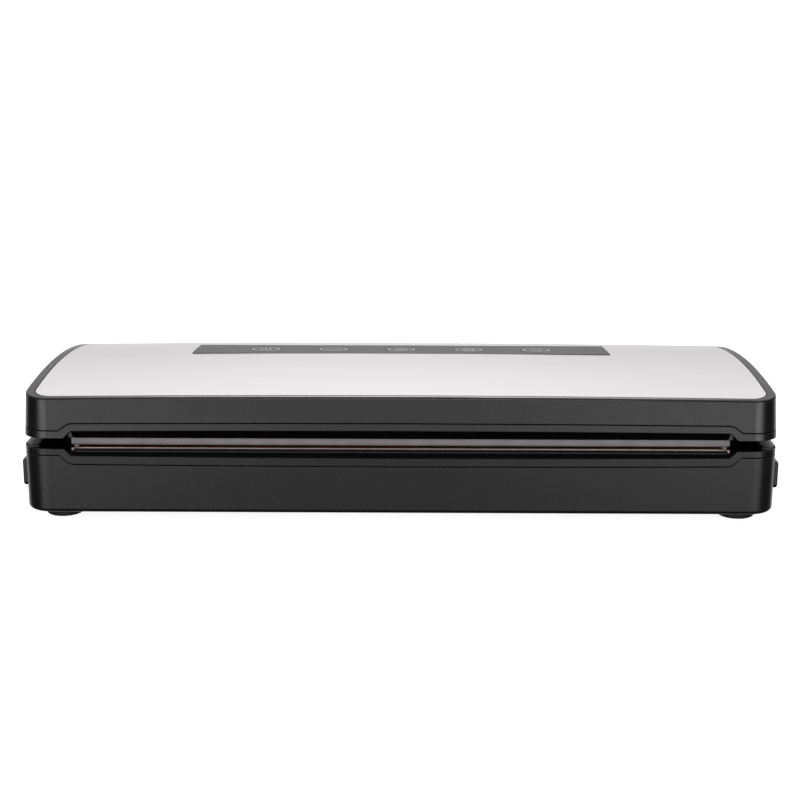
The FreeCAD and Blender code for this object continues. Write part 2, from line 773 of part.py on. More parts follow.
def make_sealing_parts():
    bar = new_body("sealing_bar")
    profile = new_sketch(bar, "bar_profile", "YZ_Plane", y="dim.front")
    groove_floor = "dim.bar_top - dim.element_thick - 0.05"
    outline(profile, [
        ("dim.bar_front", "dim.bar_low"),
        ("dim.bar_back", "dim.bar_low"),
        ("dim.bar_back", "dim.bar_top"),
        ("dim.element_back + 0.2", "dim.bar_top"),
        ("dim.element_back + 0.2", groove_floor),
        ("dim.element_front - 0.2", groove_floor),
        ("dim.element_front - 0.2", "dim.bar_top"),
        ("dim.bar_lip_back", "dim.bar_top"),
        ("dim.bar_lip_back", "dim.bar_lip_top"),
        ("dim.bar_lip_front", "dim.bar_lip_top"),
        ("dim.bar_lip_front", "dim.bar_top"),
        ("dim.bar_front", "dim.bar_top"),
    ])
    pad(bar, profile, "2 * dim.bar_half", middle=True)
    keep(bar, "sealing_bar")
    element = block(
        "element", "-dim.element_half", "dim.element_front", groove_floor, "2 * dim.element_half",
        "dim.element_back - dim.element_front", "dim.element_thick",
    )
    keep(element, "heating_element")
    tape = block(
        "tape", "-dim.tape_half", "dim.tape_front", "dim.bar_top", "2 * dim.tape_half",
        "dim.tape_back - dim.tape_front", "dim.tape_thick",
    )
    keep(tape, "heater_tape")


def make_feet():
    for side, sign in HINGES.items():
        for end, depth in (("front", "dim.foot_depth"), ("rear", "dim.depth - dim.foot_depth")):
            name = f"foot_{end}_{side}"
            body = new_body(name)
            sketch = new_sketch(body, name + "_pad", "XY_Plane", x=f"{sign} * dim.foot_x", y=back(depth))
            circle(sketch, "dim.foot_radius")
            tread = pad(body, sketch, "dim.foot_height")
            doc.recompute()
            fillet(body, tread, level_edges(tread.Shape, 0.0), "1.0")
            stud = new_sketch(
                body, name + "_stud", "XY_Plane", x=f"{sign} * dim.foot_x", y=back(depth),
                z="dim.foot_height",
            )
            circle(stud, "dim.foot_stud")
            pad(body, stud, "dim.floor_top - dim.foot_height + 0.3")
            keep(body, name)


def screw(name, x, depth, seat):
    """Pan-head screw with its head below the seat and its shank above it."""
    tall = "dim.screw_head_tall"
    head = rod(name + "_head", "dim.screw_head", tall, x, depth, f"({seat}) - {tall}")
    shank = rod(name + "_shank", "dim.screw_radius", "dim.screw_length", x, depth, seat)
    slot = block(name + "_slot", f"({x}) - 2", f"({depth}) - 0.35", f"({seat}) - 2", "4", "0.7", "0.9")
    cross = block(name + "_cross", f"({x}) - 0.35", f"({depth}) - 2", f"({seat}) - 2", "0.7", "4", "0.9")
    return cut(name, join(name, head, shank), slot, cross)


def make_screws():
    base = [
        screw(f"base_screw{index}", str(x), str(depth), "dim.base_screw_seat")
        for index, (x, depth) in enumerate(BASE_SCREWS)
    ]
    keep(group("base_screws", base), "base_screws")
    lid = [
        screw(f"lid_screw{index}", str(x), str(depth), "dim.lid_plate_top - dim.lid_screw_sink")
        for index, (x, depth) in enumerate(LID_SCREWS)
    ]
    keep(group("lid_screws", lid), "lid_screws", LID_REST)


def make_hinge_pins():
    span = "dim.knuckle_length + 2 * (dim.hinge_gap + dim.ear_length)"
    for side, sign in HINGES.items():
        pin = rod(
            f"pin_{side}", "dim.pin_radius", span, f"{sign} * dim.hinge_x - ({span}) / 2",
            "dim.hinge_depth", "dim.hinge_height", "X",
        )
        keep(pin, f"hinge_pin_{side}")


# ---- vacuum line ----


def make_nozzle(name, x):
    tube = rod(name + "_tube", "dim.nozzle_radius", "9.4", x, "dim.trough_back - 1", "dim.nozzle_height", "Y")
    flange = rod(
        name + "_flange", "4.5", "1.5", x, "dim.trough_back + dim.wall", "dim.nozzle_height", "Y"
    )
    bore = rod(name + "_bore", "dim.nozzle_bore", "20", x, "dim.trough_back - 3", "dim.nozzle_height", "Y")
    return keep(cut(name, join(name, tube, flange), bore), name)


def tube_along(points, bend, radius, bore):
    """Hollow tube along straight runs joined by tangent arcs of one bend radius."""
    edges = []
    start = points[0]
    for before, corner, after in zip(points, points[1:], points[2:]):
        incoming = (corner - before).normalize()
        outgoing = (after - corner).normalize()
        half_turn = incoming.getAngle(outgoing) / 2
        trim = bend * math.tan(half_turn)
        enter = corner - incoming * trim
        leave = corner + outgoing * trim
        inward = (outgoing - incoming).normalize()
        middle = corner + inward * (bend / math.cos(half_turn) - bend)
        edges.append(Part.LineSegment(start, enter).toShape())
        edges.append(Part.Arc(enter, middle, leave).toShape())
        start = leave
    edges.append(Part.LineSegment(start, points[-1]).toShape())
    path = Part.Wire(edges)
    direction = (points[1] - points[0]).normalize()
    shapes = []
    for size in (radius, bore):
        ring = Part.Wire(Part.makeCircle(size, points[0], direction))
        shapes.append(path.makePipeShell([ring], True, False))
    return shapes[0].cut(shapes[1])


def make_hoses():
    height = number("dim.nozzle_height")
    start = number(back("dim.trough_back + dim.wall + 2"))
    turn = number(back("dim.hose_turn_depth"))
    pump_end = number(back("dim.pump_depth - 23.5"))
    valve_end = number(back("91.5"))
    suction = number("dim.suction_x")
    pump = number("dim.pump_x")
    vent = number("dim.vent_x")
    routes = {
        "vacuum_hose": [
            Vector(suction, start, height),
            Vector(suction, turn, height),
            Vector(pump, turn, height),
            Vector(pump, pump_end, height),
        ],
        "vent_hose": [Vector(vent, start, height), Vector(vent, valve_end, height)],
    }
    for name, points in routes.items():
        hose = doc.addObject("Part::Feature", name + "_tube")
        bore = number("dim.nozzle_radius")
        hose.Shape = tube_along(points, number("dim.hose_bend"), number("dim.hose_radius"), bore)
        keep(hose, name)


def shaft_line(name, radius, length, start, height="dim.pump_height"):
    """Rod across the machine, along the motor's shaft."""
    return rod(name, radius, length, start, "dim.pump_depth", height, "X")


def stroke_line(name, radius, length, start, x="dim.pump_x", height="dim.pump_height"):
    """Rod from front to back, along the pump's stroke."""
    return rod(name, radius, length, x, start, height, "Y")


def make_pump():
    left = "dim.pump_x - dim.pump_size / 2"
    front_face = "dim.pump_depth - dim.pump_reach"
    housing = block(
        "housing_walls", left, front_face, "dim.pump_foot",
        "dim.pump_size", "2 * dim.pump_reach", "dim.pump_top - dim.pump_foot",
    )
    foot = block("pump_foot", left, f"{front_face} + 4", "dim.floor_top", "dim.pump_size", "16", "0.6")
    inside = block(
        "chamber", f"{left} + dim.pump_wall", f"{front_face} + dim.pump_wall", "dim.pump_foot + 2.6",
        "dim.pump_size - 2 * dim.pump_wall", "2 * (dim.pump_reach - dim.pump_wall)", "40",
    )
    motor_hole = shaft_line("motor_hole", "3.1", "6", f"{left} - 1")
    rod_hole = stroke_line("rod_hole", "3", "6", f"{front_face} - 1")
    shell = join("housing", housing, foot)
    keep(cut("pump_housing", shell, inside, motor_hole, rod_hole), "pump_housing")

    motor_left = f"{left} - dim.motor_length - 2"
    can = shaft_line("can", "dim.motor_radius", "dim.motor_length", motor_left)
    nose = shaft_line("nose", "3", "4", f"{left} - 2.1")
    shaft_hole = shaft_line("shaft_hole", "dim.shaft_radius + 0.04", "20", f"{left} - 14")
    tabs = [
        block(
            f"tab{index}", f"{motor_left} - 4", f"dim.pump_depth + {offset}", "dim.pump_height - 1.4",
            "4.1", "0.5", "2.8",
        )
        for index, offset in enumerate((-7, 6.5))
    ]
    keep(cut("pump_motor", join("motor", can, nose, *tabs), shaft_hole), "pump_motor")

    shaft = shaft_line("shaft", "dim.shaft_radius", "28", f"{left} - 12")
    disc_height = "dim.pump_height + dim.crank_throw"
    disc = shaft_line("disc", "dim.crank_radius", "5", "dim.pump_x - 3.5", disc_height)
    keep(join("crank", shaft, disc), "pump_crank")

    eye_inner = "dim.crank_radius + dim.crank_throw + 0.4"
    eye = shaft_line("eye", f"{eye_inner} + 1.4", "3", "dim.pump_x - 2.5")
    eye_hole = shaft_line("eye_hole", eye_inner, "5", "dim.pump_x - 3.5")
    stem = stroke_line("stem", "1.4", "7", f"{front_face} - 1.4", "dim.pump_x - 1")
    stem_relief = shaft_line("stem_relief", eye_inner, "9", "dim.pump_x - 5")
    ring = cut("eye_ring", eye, eye_hole)
    keep(join("connecting", ring, cut("stem_end", stem, stem_relief)), "pump_rod")

    disc_seal = stroke_line("seal", "9.5", "1.4", f"{front_face} - 1.4")
    stem_hole = stroke_line("stem_hole", "1.4", "3", f"{front_face} - 2", "dim.pump_x - 1")
    keep(cut("diaphragm", disc_seal, stem_hole), "pump_diaphragm")

    cap = block(
        "cap", left, f"{front_face} - 11", "dim.pump_foot + 1.8",
        "dim.pump_size", "9.6", "dim.pump_top - dim.pump_foot - 2",
    )
    barb = stroke_line("barb", "dim.nozzle_radius", "3.2", f"{front_face} - 14", height="dim.nozzle_height")
    bore = stroke_line("cap_bore", "dim.nozzle_bore", "12", f"{front_face} - 18", height="dim.nozzle_height")
    hollow = stroke_line("cap_hollow", "8", "4", f"{front_face} - 5.4")
    keep(cut("pump_cap", join("cap_outside", cap, barb), bore, hollow), "pump_cap")


def make_release_valve():
    body = block("valve_block", "dim.vent_x - 8", "92", "14", "16", "16", "15.5")
    barb = rod("valve_barb", "dim.nozzle_radius", "6.5", "dim.vent_x", "86", "dim.nozzle_height", "Y")
    coil = rod("valve_coil", "6.5", "9", "dim.vent_x", "107.5", "21", "Y")
    legs = block("valve_legs", "dim.vent_x - 8", "94", "dim.floor_top", "16", "8", "7.5")
    bore = rod("valve_bore", "dim.nozzle_bore", "12", "dim.vent_x", "85", "dim.nozzle_height", "Y")
    keep(cut("release_valve", join("valve", body, barb, coil, legs), bore), "release_valve")


# ---- electrics in the base ----


def make_board():
    left = "dim.board_x - dim.board_long / 2"
    near = "dim.board_depth - dim.board_wide / 2"
    top = "dim.board_low + dim.board_thick"
    board = block(
        "board", left, near, "dim.board_low", "dim.board_long", "dim.board_wide", "dim.board_thick"
    )
    keep(board, "power_board")
    core = block("core", f"{left} + 8", f"{near} + 26", top, "28", "24", "14")
    winding = block("winding", f"{left} + 13", f"{near} + 29", f"{top} + 13.9", "18", "18", "4")
    keep(join("transformer", core, winding), "transformer")
    pieces = [
        rod("capacitor_large", "5", "16", f"{left} + 44", f"{near} + 34", top),
        rod("capacitor_small", "3.2", "11", f"{left} + 44", f"{near} + 20", top),
        block("relay", f"{left} + 6", f"{near} + 6", top, "19", "15", "15"),
        block("plug_row", f"{left} + 32", f"{near} + 3", top, "14", "6", "8"),
        block("fuse", f"{left} + 42", f"{near} + 44", top, "6", "9", "6"),
    ]
    keep(group("board_parts", pieces), "board_parts")


def make_inlet():
    body = block(
        "inlet_block", "dim.inlet_x - dim.inlet_width / 2", "dim.depth - dim.inlet_deep - 0.1",
        "dim.inlet_height - dim.inlet_tall / 2", "dim.inlet_width", "dim.inlet_deep", "dim.inlet_tall",
    )
    mouth = "dim.depth - dim.socket_deep - 0.1"
    cavity = [
        rod(
            f"socket{index}", "dim.socket_radius", "dim.socket_deep + 2",
            f"dim.inlet_x + {sign} * dim.pin_pitch / 2", mouth, "dim.inlet_height", "Y",
        )
        for index, sign in enumerate((-1, 1))
    ]
    middle = block(
        "socket_middle", "dim.inlet_x - dim.pin_pitch / 2", mouth, "dim.inlet_height - dim.socket_radius",
        "dim.pin_pitch", "dim.socket_deep + 2", "2 * dim.socket_radius",
    )
    keep(cut("power_inlet", body, *cavity, middle), "power_inlet")
    pins = [
        rod(
            f"contact{index}", "1.2", "10", f"dim.inlet_x + {sign} * dim.pin_pitch / 2", mouth,
            "dim.inlet_height", "Y",
        )
        for index, sign in enumerate((-1, 1))
    ]
    keep(group("inlet_pins", pins), "inlet_pins")


def make_lid_switches():
    for side, sign in HINGES.items():
        left = "143.6" if sign > 0 else "-155.1"
        body = block(f"switch_{side}", left, "23", "24", "11.5", "6", "6.2")
        knob = block(f"switch_knob_{side}", f"{left} + 7", "25.3", "30.1", "1.5", "1.4", "0.8")
        keep(join(f"switch_{side}", body, knob), f"lid_switch_{side}")


# ---- side release buttons ----


def make_release(side, sign):
    """Side button, its flange behind the wall and the flat slider that the lid's catch hooks under."""
    body = new_body(f"release_{side}")
    inner_wall = "dim.width / 2 - dim.wall - dim.release_gap"
    face = new_sketch(
        body, f"release_{side}_face", "YZ_Plane", x=f"{sign} * ({inner_wall})",
        y=back("dim.release_depth"), z="dim.release_height",
    )
    rectangle(face, "dim.release_length", "dim.release_tall", "1.8")
    cap = pad(body, face, f"dim.release_out - ({inner_wall})", reverse=sign < 0)
    doc.recompute()
    outer = number("dim.release_out")
    rim = [
        f"Edge{index}"
        for index, edge in enumerate(cap.Shape.Edges, start=1)
        if all(abs(abs(vertex.X) - outer) < 1e-4 for vertex in edge.Vertexes)
    ]
    fillet(body, cap, rim, "1.0")
    flange = new_sketch(
        body, f"release_{side}_flange", "YZ_Plane", x=f"{sign} * ({inner_wall} + 0.05)",
        y=back("dim.release_depth"), z="dim.release_height",
    )
    rectangle(flange, "dim.release_length + 3", "dim.release_tall + 3", "2")
    pad(body, flange, "1.8", reverse=sign > 0)
    slider_out = f"{inner_wall} - 1.6"
    slab(
        body, f"release_{side}_slider", f"{slider_out} - dim.slider_in", "20", "dim.slider_low",
        "dim.slider_top", depth="dim.catch_depth", x=f"{sign} * ({slider_out} + dim.slider_in) / 2",
    )
    slab(
        body, f"release_{side}_tab", "1.6", "8", "14.5", "dim.slider_top", depth="dim.catch_depth",
        x=f"{sign} * (dim.slider_in + 0.8)",
    )
    sink(
        body, f"release_{side}_window", "dim.window_out - dim.window_in", "14", "dim.slider_low - 1",
        "dim.slider_top + 1", depth="dim.catch_depth",
        x=f"{sign} * (dim.window_in + dim.window_out) / 2",
    )
    keep(body, f"release_button_{side}")


def make_release_spring(side, sign):
    coil_radius = number("dim.spring_radius") - number("dim.spring_wire")
    start = number("dim.post_x") + number("dim.spring_wire") + 0.02
    length = number("dim.slider_in") - number("dim.spring_wire") - 0.02 - start
    turns = 5
    helix = Part.makeHelix(length / turns, length, coil_radius)
    wire = Part.makeCircle(number("dim.spring_wire"), Vector(coil_radius, 0, 0), Vector(0, 1, 0))
    section = Part.Wire(wire)
    coil = Part.Wire(helix.Edges).makePipeShell([section], True, True)
    spring = doc.addObject("Part::Feature", f"spring_{side}")
    spring.Shape = coil
    at = Vector(sign * start, number(back("dim.catch_depth")), number("dim.spring_height"))
    keep(spring, f"release_spring_{side}", Placement(at, Rotation(Vector(0, 1, 0), sign * 90)))


# ---- lid ----


def arch_pocket(body, name, sink_amount, above):
    """Cut away what lies above, or below, a surface parallel to the lid's top.

    The top is the arch turned about a far axis that runs from front to back, so it also falls
    slightly towards both ends.
    """
    margin = "20"
    first = f"-{margin}"
    last = f"dim.depth + {margin}"
    sketch = new_sketch(body, name, "YZ_Plane", y="dim.front", z="dim.lid_peak - dim.crown_radius")
    far = "120" if above else "20"
    corners = [
        (first, arch_at(first, sink_amount)),
        (last, arch_at(last, sink_amount)),
        (last, far),
        (first, far),
    ]
    outline(
        sketch, [(along, f"({height}) - dim.lid_peak + dim.crown_radius") for along, height in corners],
        arcs={0: f"dim.arch_radius - ({sink_amount})"},
    )
    turned = body.newObject("PartDesign::Groove", name + "_turned")
    turned.Profile = sketch
    turned.ReferenceAxis = (sketch, ["H_Axis"])
    turned.Angle = 4
    turned.Midplane = True
    sketch.Visibility = False
    return turned


def lid_outline_at(height):
    """Shrinkage of the lid's outline, on each side, between its lower edge and a height."""
    return f"(({height}) - dim.lid_low) * tan({number('dim.lid_draft')} * 1deg)"


def on_lid_top(edge):
    """True for an edge whose ends both lie on the lid's arched top."""
    axis_height = number("dim.lid_peak - dim.crown_radius")
    for vertex in edge.Vertexes:
        reach = number(arch_at(str(vertex.Y - number("dim.front")))) - axis_height
        if abs(math.hypot(vertex.X, vertex.Z - axis_height) - reach) > 1e-3:
            return False
    return True


def make_lid_cover():
    body = new_body("lid_cover")
    low = "dim.lid_seam + dim.seam / 2"
    shrink = lid_outline_at(low)
    slab(
        body, "cover_outline", f"dim.width - 2 * {shrink}", f"dim.lid_depth - 2 * {shrink}", low, "75",
        corner="dim.corner", taper="-dim.lid_draft",
    )
    top = arch_pocket(body, "cover_arch", "0", above=True)
    core = new_body("cover_core")
    inset = f"({shrink} + dim.wall)"
    slab(
        core, "core_outline", f"dim.width - 2 * {inset}", f"dim.lid_depth - 2 * {inset}",
        f"{low} - 1", "75", corner="dim.corner - dim.wall", taper="-dim.lid_draft",
    )
    arch_pocket(core, "core_arch", "dim.wall", above=True)
    hollow = body.newObject("PartDesign::Boolean", "cover_hollow")
    hollow.Type = "Cut"
    hollow.setObjects([core])
    doc.recompute()
    rim = [
        f"Edge{index}"
        for index, edge in enumerate(hollow.Shape.Edges, start=1)
        if on_lid_top(edge)
    ]
    fillet(body, hollow, rim, "dim.lid_edge")
    doc.recompute()
    step = new_sketch(body, "cover_step", "XZ_Plane", y="dim.front - 1")
    high = "dim.lid_seam_mid + dim.seam / 2"
    outline(
        step, step_points("dim.seam_half_end", "dim.seam_half_mid", low, high),
        arcs={2: "-dim.mouth_bow"},
    )
    stepped = pocket(body, step, "dim.wall + 2.5")
    round_step(body, stepped, "dim.seam_half_mid", high, "dim.seam_round")
    pads = panel_sketch(body, "cover_panel_bed", "-5")
    rectangle(pads, "dim.panel_length + 6", "dim.panel_width + 5")
    pad(body, pads, "3.5")
    recess = panel_sketch(body, "cover_panel_recess", "4")
    rectangle(recess, "dim.panel_length", "dim.panel_width", "1.5")
    pocket(body, recess, "4 + dim.panel_thick + 0.02")
    holes = panel_sketch(body, "cover_button_holes", "2")
    for place_index in range(-2, 3):
        circle(holes, "dim.button_radius + 1.9", f"{place_index} * dim.button_pitch")
    pocket(body, holes, "12")
    bosses = new_sketch(body, "cover_bosses", "XY_Plane", z="dim.lid_plate_top")
    for x, depth in LID_SCREWS:
        circle(bosses, "dim.boss_radius", str(x), back(depth))
    pad(body, bosses, "dim.boss_top - dim.lid_plate_top")
    drill = new_sketch(body, "cover_boss_holes", "XY_Plane", z="52")
    for x, depth in LID_SCREWS:
        circle(drill, "dim.screw_hole", str(x), back(depth))
    pocket(body, drill, "20")
    for side, sign in HINGES.items():
        hinge_notch(body, f"cover_hinge_notch_{side}", sign, "dim.hinge_height + 4.4", whole=True)
    recess = new_body("plate_recess")
    plate_sheet(recess, "recess", "-1", "dim.plate_thick + 0.03", spread="dim.plate_gap")
    ditch = new_body("plate_ditch")
    plate_sheet(ditch, "ditch", "-1", "dim.rim_gap_deep", spread="dim.plate_gap")
    island = new_body("plate_island")
    plate_sheet(island, "island", "-2", "dim.rim_gap_deep + 1")
    gap = cut("plate_gap_ring", ditch, island)
    keep(cut("lid_cover", body, recess, gap, rim_line()), "lid_cover", LID_REST)


def rim_line():
    """Ring that cuts the fine dark line below the lid's rim, parallel to the arched top."""
    body = new_body("rim_line")
    slab(body, "line_block", "dim.width + 8", "dim.depth + 8", "50", "72")
    arch_pocket(body, "line_above", "dim.rim_line_high", above=True)
    arch_pocket(body, "line_below", "dim.rim_line_low", above=False)
    core = new_body("rim_line_core")
    inset = f"({lid_outline_at('dim.lid_seam')} + dim.rim_line_deep)"
    slab(
        core, "line_core", f"dim.width - 2 * {inset}", f"dim.lid_depth - 2 * {inset}",
        "dim.lid_seam", "75", corner="dim.corner - dim.rim_line_deep", taper="-dim.lid_draft",
    )
    return cut("rim_line", body, core)


def hinge_notch(body, name, sign, top, whole):
    """Cut the room that the deck's hinge ears, and the knuckle if whole, need in the lid's back."""
    half = "dim.knuckle_length / 2 + dim.hinge_gap + dim.ear_length + 0.5"
    if whole:
        sink(
            body, name, f"2 * ({half})", "10", "20", top, depth="dim.depth - 2.5",
            x=f"{sign} * dim.hinge_x",
        )
        return
    for end, offset in (("inner", -1), ("outer", 1)):
        sink(
            body, f"{name}_{end}", "dim.ear_length + 2 * dim.hinge_gap", "10", "20", top,
            depth="dim.depth - 2.5",
            x=(
                f"{sign} * dim.hinge_x"
                f" + {offset} * (dim.knuckle_length / 2 + dim.hinge_gap + dim.ear_length / 2)"
            ),
        )


def plate_sheet(body, name, top, bottom, spread="0"):
    """Arched sheet inside the lid's rim, between two depths below the lid's top.

    Spread is how far the sheet reaches beyond the steel plate's outline.
    """
    slab(
        body, name + "_outline", f"dim.width - 2 * dim.rim_width + 2 * {spread}",
        f"dim.lid_depth - dim.rim_front - dim.rim_width + 2 * {spread}", "50", "72",
        depth="(dim.lid_depth + dim.rim_front - dim.rim_width) / 2 + (dim.depth - dim.lid_depth) / 2",
        corner=f"dim.plate_corner + {spread}",
    )
    arch_pocket(body, name + "_over", top, above=True)
    arch_pocket(body, name + "_under", bottom, above=False)


def make_steel_plate():
    body = new_body("steel_plate")
    plate_sheet(body, "steel", "0", "dim.plate_thick")
    opening = panel_sketch(body, "steel_panel_opening", "6")
    rectangle(opening, "dim.panel_length", "dim.panel_width", "1.5")
    pocket(body, opening, "20")
    keep(body, "steel_plate", LID_REST)


def leans_back(edge, half):
    """True for a straight edge at plus or minus a half length that runs from front to back."""
    if len(edge.Vertexes) != 2:
        return False
    first, last = edge.Vertexes
    level = all(abs(abs(vertex.X) - number(half)) < 1e-3 for vertex in (first, last))
    return level and abs(first.Y - last.Y) > 1


def make_lid_inner_plate():
    body = new_body("lid_inner_plate")
    slab(
        body, "inner_rim", "dim.width", "dim.lid_depth", "dim.lid_low", "dim.lid_seam - dim.seam / 2",
        corner="dim.corner", taper="-dim.lid_draft",
    )
    inset = "2 * (dim.wall + dim.fit + 0.35)"
    slab(
        body, "inner_lip", f"dim.width - {inset}", f"dim.lid_depth - {inset}",
        "dim.lid_seam - dim.seam / 2 - 0.1", "dim.lid_seam + 2", corner="dim.corner - dim.wall",
    )
    sink(
        body, "inner_tray", f"dim.width - {inset} - 3.2", f"dim.lid_depth - {inset} - 3.2",
        "dim.lid_plate_top", "dim.lid_seam + 3", corner="dim.corner - dim.wall - 1.6",
    )
    tongue = new_sketch(
        body, "inner_tongue", "XZ_Plane", y="-dim.lid_depth / 2", z="dim.lid_low",
        tilt=-number("dim.lid_draft"),
    )
    outline(
        tongue,
        step_points(
            "dim.seam_half_end", "dim.seam_half_mid",
            "dim.lid_seam - dim.lid_low - dim.seam / 2 - 0.1",
            "dim.lid_seam_mid - dim.lid_low - dim.seam / 2",
        ),
        arcs={2: "-dim.mouth_bow"},
    )
    tongued = pad(body, tongue, "4.5", reverse=True)
    doc.recompute()
    shoulders = [
        f"Edge{index}"
        for index, edge in enumerate(tongued.Shape.Edges, start=1)
        if leans_back(edge, "dim.seam_half_mid")
    ]
    fillet(body, tongued, shoulders, "dim.seam_round - dim.seam")
    mouth = new_sketch(body, "inner_mouth", "XZ_Plane", y="dim.front - 1")
    outline(
        mouth,
        step_points("dim.mouth_half_end", "dim.mouth_half_mid", "dim.lid_low - 0.01", "dim.lid_mouth"),
        arcs={2: "-dim.mouth_bow"},
    )
    opened = pocket(body, mouth, "dim.bar_front + 1")
    round_step(body, opened, "dim.mouth_half_mid", "dim.lid_mouth", "dim.mouth_round")
    liner = new_sketch(body, "inner_liner", "YZ_Plane", y="dim.front")
    outline(liner, [
        ("1.3", "dim.lid_mouth"),
        ("dim.bar_front - 0.2", "dim.holder_low"),
        ("dim.bar_front + 0.1", "dim.holder_low"),
        ("dim.bar_front + 0.1", "dim.lid_mouth + 1"),
        ("1.3", "dim.lid_mouth + 1"),
    ])
    pad(body, liner, "2 * dim.mouth_half_mid", middle=True)
    bar_depth = "(dim.bar_front + dim.bar_back) / 2"
    slab(
        body, "inner_holder", "2 * dim.bar_half + 4", "dim.bar_back - dim.bar_front + 1.5",
        "dim.holder_low", "dim.strip_top + 1.6", depth=f"{bar_depth} + 0.75",
    )
    sink(
        body, "inner_strip_channel", "2 * dim.bar_half + 0.2", "dim.tape_back - dim.tape_front + 0.2",
        "dim.holder_low - 1", "dim.strip_top", depth=bar_depth,
    )
    trough_depth = "(dim.trough_front + dim.trough_back) / 2"
    slab(
        body, "inner_trough_box", "2 * (dim.trough_half + dim.wall)",
        "dim.trough_back - dim.trough_front + 2 * dim.wall", "dim.lid_plate_top - 0.1",
        "dim.lid_trough_top + dim.wall", depth=trough_depth, corner="5",
    )
    sink(
        body, "inner_trough", "2 * dim.trough_half", "dim.trough_back - dim.trough_front",
        "dim.lid_low - 1", "dim.lid_trough_top", depth=trough_depth, corner="3",
    )
    gasket_groove(body, "inner_gasket_groove", "dim.lid_low", "dim.lid_low + dim.gasket_groove")
    for side, sign in HINGES.items():
        hinge_notch(body, f"inner_hinge_notch_{side}", sign, "50", whole=False)
        knuckle = new_sketch(
            body, f"inner_knuckle_{side}", "YZ_Plane", x=f"{sign} * dim.hinge_x",
            y=back("dim.hinge_depth"), z="dim.hinge_height",
        )
        circle(knuckle, "dim.knuckle_radius")
        pad(body, knuckle, "dim.knuckle_length", middle=True)
        sink(
            body, f"inner_catch_hole_{side}", "dim.catch_out - dim.catch_in + 0.1",
            "dim.catch_back - dim.catch_front + 0.1", "30", "45", depth="dim.catch_depth",
            x=f"{sign} * (dim.catch_in + dim.catch_out) / 2",
        )
    bores = new_sketch(
        body, "inner_pin_bores", "YZ_Plane", y=back("dim.hinge_depth"), z="dim.hinge_height"
    )
    circle(bores, "dim.pin_radius + dim.pin_play")
    pocket(body, bores, "2 * dim.hinge_x + 60", middle=True)
    for name, radius, high in (
        ("inner_head_wells", "dim.head_well", "dim.lid_plate_top - dim.lid_screw_sink"),
        ("inner_screw_holes", "dim.screw_clear", "dim.lid_plate_top + 1"),
    ):
        holes = new_sketch(body, name, "XY_Plane", z=high)
        for x, depth in LID_SCREWS:
            circle(holes, radius, str(x), back(depth))
        pocket(body, holes, "8")
    keep(body, "lid_inner_plate", LID_REST)


def make_lid_seal_parts():
    strip = new_body("pressure_strip")
    bar = slab(
        strip, "strip", "2 * dim.bar_half", "dim.tape_back - dim.tape_front", "dim.strip_low",
        "dim.strip_top", depth="(dim.tape_front + dim.tape_back) / 2",
    )
    doc.recompute()
    long_edges = [
        name for name in level_edges(bar.Shape, number("dim.strip_low"))
        if bar.Shape.getElement(name).Length > number("dim.bar_half")
    ]
    fillet(strip, bar, long_edges, "dim.strip_round")
    keep(strip, "pressure_strip", LID_REST)
    make_gasket("upper_gasket", "dim.lid_gasket_low", "dim.lid_low + dim.gasket_groove", LID_REST)
    make_gasket("lower_gasket", "dim.deck_top - dim.gasket_groove", "dim.gasket_top")


def make_catches():
    for side, sign in HINGES.items():
        body = new_body(f"catch_{side}")
        hook = new_sketch(body, f"catch_{side}_hook", "XZ_Plane", y=back("dim.catch_front"))
        points = [
            ("dim.catch_out", "dim.lid_plate_top + 0.1"),
            ("dim.catch_in", "dim.lid_plate_top + 0.1"),
            ("dim.catch_in", "dim.catch_barb"),
            ("dim.catch_tip", "dim.catch_barb"),
            ("dim.catch_tip", "dim.catch_barb - 0.5"),
            ("dim.catch_in - 0.6", "dim.catch_low"),
            ("dim.catch_out", "dim.catch_low"),
        ]
        outline(hook, [(f"{sign} * ({x})", z) for x, z in points])
        pad(body, hook, "dim.catch_back - dim.catch_front", reverse=True)
        slab(
            body, f"catch_{side}_foot", "10", "14", "dim.lid_plate_top", "dim.lid_plate_top + 2",
            depth="dim.catch_depth", x=f"{sign} * (dim.catch_in + 0.5)",
        )
        keep(body, f"catch_{side}", LID_REST)


